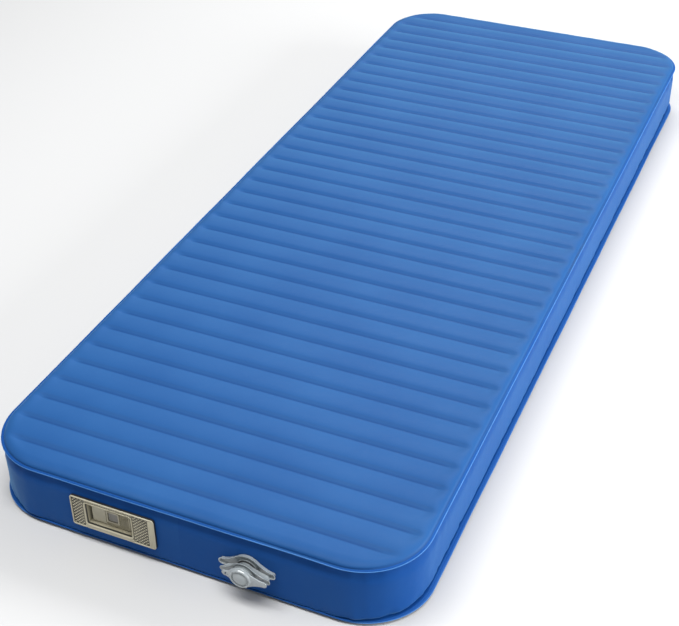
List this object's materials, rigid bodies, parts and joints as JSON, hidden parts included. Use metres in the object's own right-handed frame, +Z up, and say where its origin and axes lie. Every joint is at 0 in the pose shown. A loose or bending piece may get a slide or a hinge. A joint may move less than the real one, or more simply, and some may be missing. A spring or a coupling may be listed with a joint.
{
  "type": "air mattress",
  "caption": "Self-standing inflatable mattress with transverse welded channels, lipped side walls, a removable pump module and a winged air valve in the foot wall.",
  "frame": {"origin": "on the floor under the middle of the mattress, on the flat land of its middle channel", "axes": "+Z up, +Y along the bed towards the head end, +X across the bed; the pump bay and valve are in the foot wall, at -Y"},
  "size_m": [0.76, 2.0105, 0.126],
  "materials": {
    "top_fabric": "satin coated polyester, heat-welded ribs",
    "wall_fabric": "satin coated polyester",
    "beam_film": "plain coated film",
    "pump_plastic": "champagne satin moulding, knurled",
    "button_plastic": "grey satin moulding",
    "valve_plastic": "soft grey moulding, semi-gloss",
    "seal_rubber": "black",
    "clear_silicone": "translucent",
    "steel": "drawn and plated",
    "board": "solder mask",
    "cell_wrap": "shrink wrap"
  },
  "bodies": {
    "mattress": {"top_sheet": "top_fabric", "side_wall": "wall_fabric", "bottom_sheet": "wall_fabric", "beam_01": "beam_film", "beam_02": "beam_film", "beam_03": "beam_film", "beam_04": "beam_film", "beam_05": "beam_film", "beam_06": "beam_film", "beam_07": "beam_film", "beam_08": "beam_film", "beam_09": "beam_film", "beam_10": "beam_film", "beam_11": "beam_film", "beam_12": "beam_film", "beam_13": "beam_film", "beam_14": "beam_film", "beam_15": "beam_film", "beam_16": "beam_film", "beam_17": "beam_film", "beam_18": "beam_film", "beam_19": "beam_film", "beam_20": "beam_film", "beam_21": "beam_film", "beam_22": "beam_film", "beam_23": "beam_film", "beam_24": "beam_film", "beam_25": "beam_film", "beam_26": "beam_film", "beam_27": "beam_film", "beam_28": "beam_film", "beam_29": "beam_film", "beam_30": "beam_film", "beam_31": "beam_film", "beam_32": "beam_film", "beam_33": "beam_film", "beam_34": "beam_film", "beam_35": "beam_film", "beam_36": "beam_film", "pump_housing": "pump_plastic", "pump_faceplate": "pump_plastic", "port_seal": "seal_rubber", "valve_base": "valve_plastic", "valve_seal": "seal_rubber"},
    "pump_module": {"module_cap": "pump_plastic", "module_body": "pump_plastic", "deflate_nozzle": "button_plastic", "inflate_nozzle": "pump_plastic", "motor": "steel", "circuit_board": "board", "button_switch": "seal_rubber", "battery": "cell_wrap", "charge_socket": "steel"},
    "power_button": {"power_button": "button_plastic"},
    "impeller": {"impeller": "button_plastic", "motor_shaft": "steel"},
    "port_flap": {"port_flap": "clear_silicone"},
    "valve_cap": {"valve_cap": "valve_plastic"},
    "valve_plug": {"valve_plug": "valve_plastic"},
    "valve_diaphragm": {"valve_diaphragm": "clear_silicone"}
  },
  "joints": [
    {"name": "pump_pull", "type": "slide", "parent": "mattress", "child": "pump_module", "axis": [0, -1, 0], "range_m": [0, 0.06]},
    {"name": "power_button_press", "type": "slide", "parent": "pump_module", "child": "power_button", "axis": [0, 1, 0], "range_m": [0, 0.0015], "stiffness_N_per_m": 500, "springref_m": -0.001},
    {"name": "impeller_spin", "type": "hinge", "parent": "pump_module", "child": "impeller", "pos_m": [-0.154, -0.9665, 0.063], "axis": [1, 0, 0], "continuous": true},
    {"name": "port_flap_swing", "type": "hinge", "parent": "mattress", "child": "port_flap", "pos_m": [-0.1697, -0.9665, 0.0747], "axis": [0, 1, 0], "range_deg": [0, 50]},
    {"name": "valve_cap_open", "type": "hinge", "parent": "mattress", "child": "valve_cap", "pos_m": [0.1682, -0.99625, 0.06], "axis": [0, 0, 1], "range_deg": [0, 85]},
    {"name": "valve_plug_open", "type": "hinge", "parent": "valve_cap", "child": "valve_plug", "pos_m": [0.1655, -1.01375, 0.06], "axis": [0, 0, 1], "range_deg": [0, 90]},
    {"name": "diaphragm_lift", "type": "slide", "parent": "valve_cap", "child": "valve_diaphragm", "axis": [0, 1, 0], "range_m": [0, 0.0025], "stiffness_N_per_m": 20, "springref_m": -0.0005}
  ]
}
